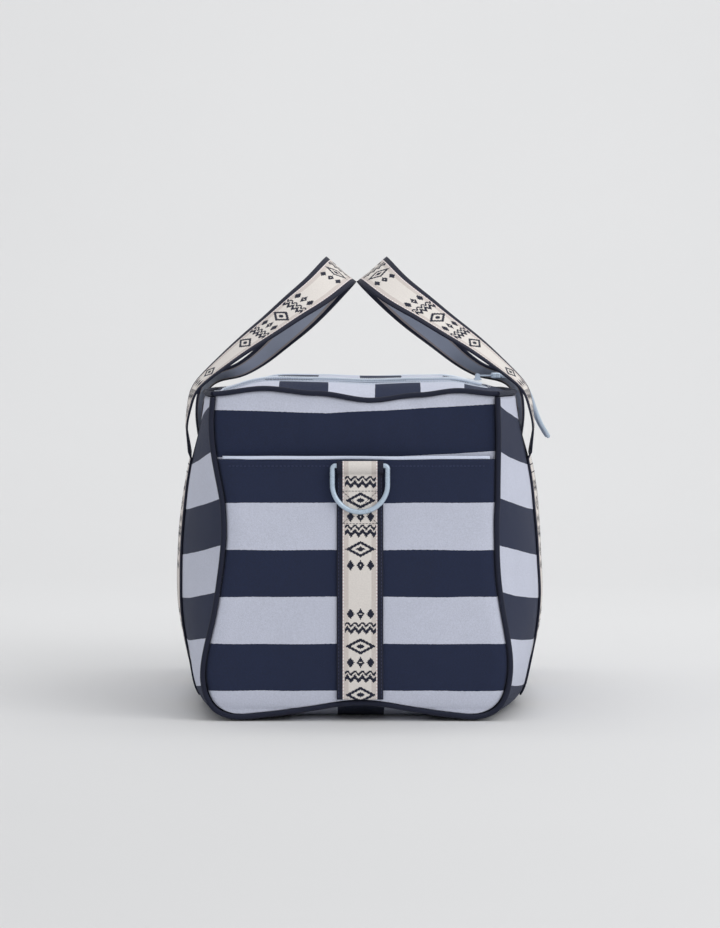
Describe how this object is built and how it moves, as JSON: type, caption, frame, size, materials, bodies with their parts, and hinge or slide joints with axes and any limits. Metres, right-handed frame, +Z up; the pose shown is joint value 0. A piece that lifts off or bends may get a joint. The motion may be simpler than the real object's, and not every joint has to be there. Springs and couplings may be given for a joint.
{
  "type": "weekender bag",
  "caption": "Soft rectangular travel bag with a U-shaped zip lid, two webbing loop handles, slip pockets and hanging rings on both ends.",
  "frame": {"origin": "on the floor under the middle of the bag, at the centre of the base panel", "axes": "+X across the bag towards the side with the zip's long run, +Y along the bag to the far end, +Z up"},
  "size_m": [0.3693, 0.54, 0.4394],
  "materials": {
    "striped_canvas": "cotton canvas with broad navy and pale blue stripes",
    "lining_cloth": "plain woven navy lining",
    "navy_piping": "cord covered in navy cloth",
    "pale_blue_binding": "folded pale blue tape",
    "woven_webbing": "woven ecru webbing with navy edges and a geometric pattern",
    "pale_blue_ring": "smooth satin paint",
    "zip_tape": "fine woven tape",
    "zip_teeth": "moulded, satin",
    "zip_metal": "satin paint",
    "pull_cord": "braided round cord",
    "base_board": "plain board"
  },
  "bodies": {
    "bag_body": {"base_panel": "striped_canvas", "front_panel": "striped_canvas", "back_panel": "striped_canvas", "lining_base": "lining_cloth", "lining_front": "lining_cloth", "lining_back": "lining_cloth", "base_board": "base_board", "top_rim_near": "striped_canvas", "top_rim_far": "striped_canvas", "top_rim_front": "striped_canvas", "top_rim_back": "striped_canvas", "zip_tape_body": "zip_tape", "zip_teeth_body": "zip_teeth", "zip_stops": "zip_teeth", "piping_top": "navy_piping", "end_panel_near": "striped_canvas", "lining_end_near": "lining_cloth", "end_pocket_near": "striped_canvas", "pocket_trim_near": "pale_blue_binding", "end_webbing_near": "woven_webbing", "piping_end_near": "navy_piping", "side_strap_front_near": "woven_webbing", "side_strap_back_near": "woven_webbing", "end_panel_far": "striped_canvas", "lining_end_far": "lining_cloth", "end_pocket_far": "striped_canvas", "pocket_trim_far": "pale_blue_binding", "end_webbing_far": "woven_webbing", "piping_end_far": "navy_piping", "side_strap_front_far": "woven_webbing", "side_strap_back_far": "woven_webbing"},
    "lid": {"lid_panel": "striped_canvas", "lid_lining": "lining_cloth", "zip_tape_lid": "zip_tape", "zip_teeth_lid": "zip_teeth"},
    "front_handle": {"handle_front": "woven_webbing"},
    "back_handle": {"handle_back": "woven_webbing"},
    "slider_near": {"zip_slider_near": "zip_metal"},
    "pull_near": {"zip_tab_near": "zip_metal", "pull_cord_near": "pull_cord"},
    "ring_near": {"d_ring_near": "pale_blue_ring"},
    "slider_far": {"zip_slider_far": "zip_metal"},
    "pull_far": {"zip_tab_far": "zip_metal", "pull_cord_far": "pull_cord"},
    "ring_far": {"d_ring_far": "pale_blue_ring"}
  },
  "joints": [
    {"name": "lid_hinge", "type": "hinge", "parent": "bag_body", "child": "lid", "pos_m": [-0.128, 0, 0.309], "axis": [0, -1, 0], "range_deg": [0, 78]},
    {"name": "front_handle_swing", "type": "hinge", "parent": "bag_body", "child": "front_handle", "pos_m": [0.1652, 0, 0.2424], "axis": [0, 1, 0], "range_deg": [0, 130.5]},
    {"name": "back_handle_swing", "type": "hinge", "parent": "bag_body", "child": "back_handle", "pos_m": [-0.1652, 0, 0.2424], "axis": [0, -1, 0], "range_deg": [0, 130.5]},
    {"name": "slider_near_run", "type": "slide", "parent": "bag_body", "child": "slider_near", "axis": [0, -1, 0], "range_m": [0, 0.058]},
    {"name": "pull_near_flip", "type": "hinge", "parent": "slider_near", "child": "pull_near", "pos_m": [0.1179, -0.014, 0.3185], "axis": [0, -1, 0], "range_deg": [0, 150]},
    {"name": "ring_near_swing", "type": "hinge", "parent": "bag_body", "child": "ring_near", "pos_m": [0, -0.26595, 0.237], "axis": [-1, 0, 0], "range_deg": [0, 150]},
    {"name": "slider_far_run", "type": "slide", "parent": "bag_body", "child": "slider_far", "axis": [0, 1, 0], "range_m": [0, 0.058]},
    {"name": "pull_far_flip", "type": "hinge", "parent": "slider_far", "child": "pull_far", "pos_m": [0.1179, 0.014, 0.3185], "axis": [0, -1, 0], "range_deg": [0, 150]},
    {"name": "ring_far_swing", "type": "hinge", "parent": "bag_body", "child": "ring_far", "pos_m": [0, 0.26595, 0.237], "axis": [1, 0, 0], "range_deg": [0, 150]}
  ],
  "couplings": [
    {"joint": "front_handle_swing", "follows": "lid_hinge", "ratio": 1.6667},
    {"joint": "back_handle_swing", "follows": "lid_hinge", "ratio": 1.6667}
  ]
}
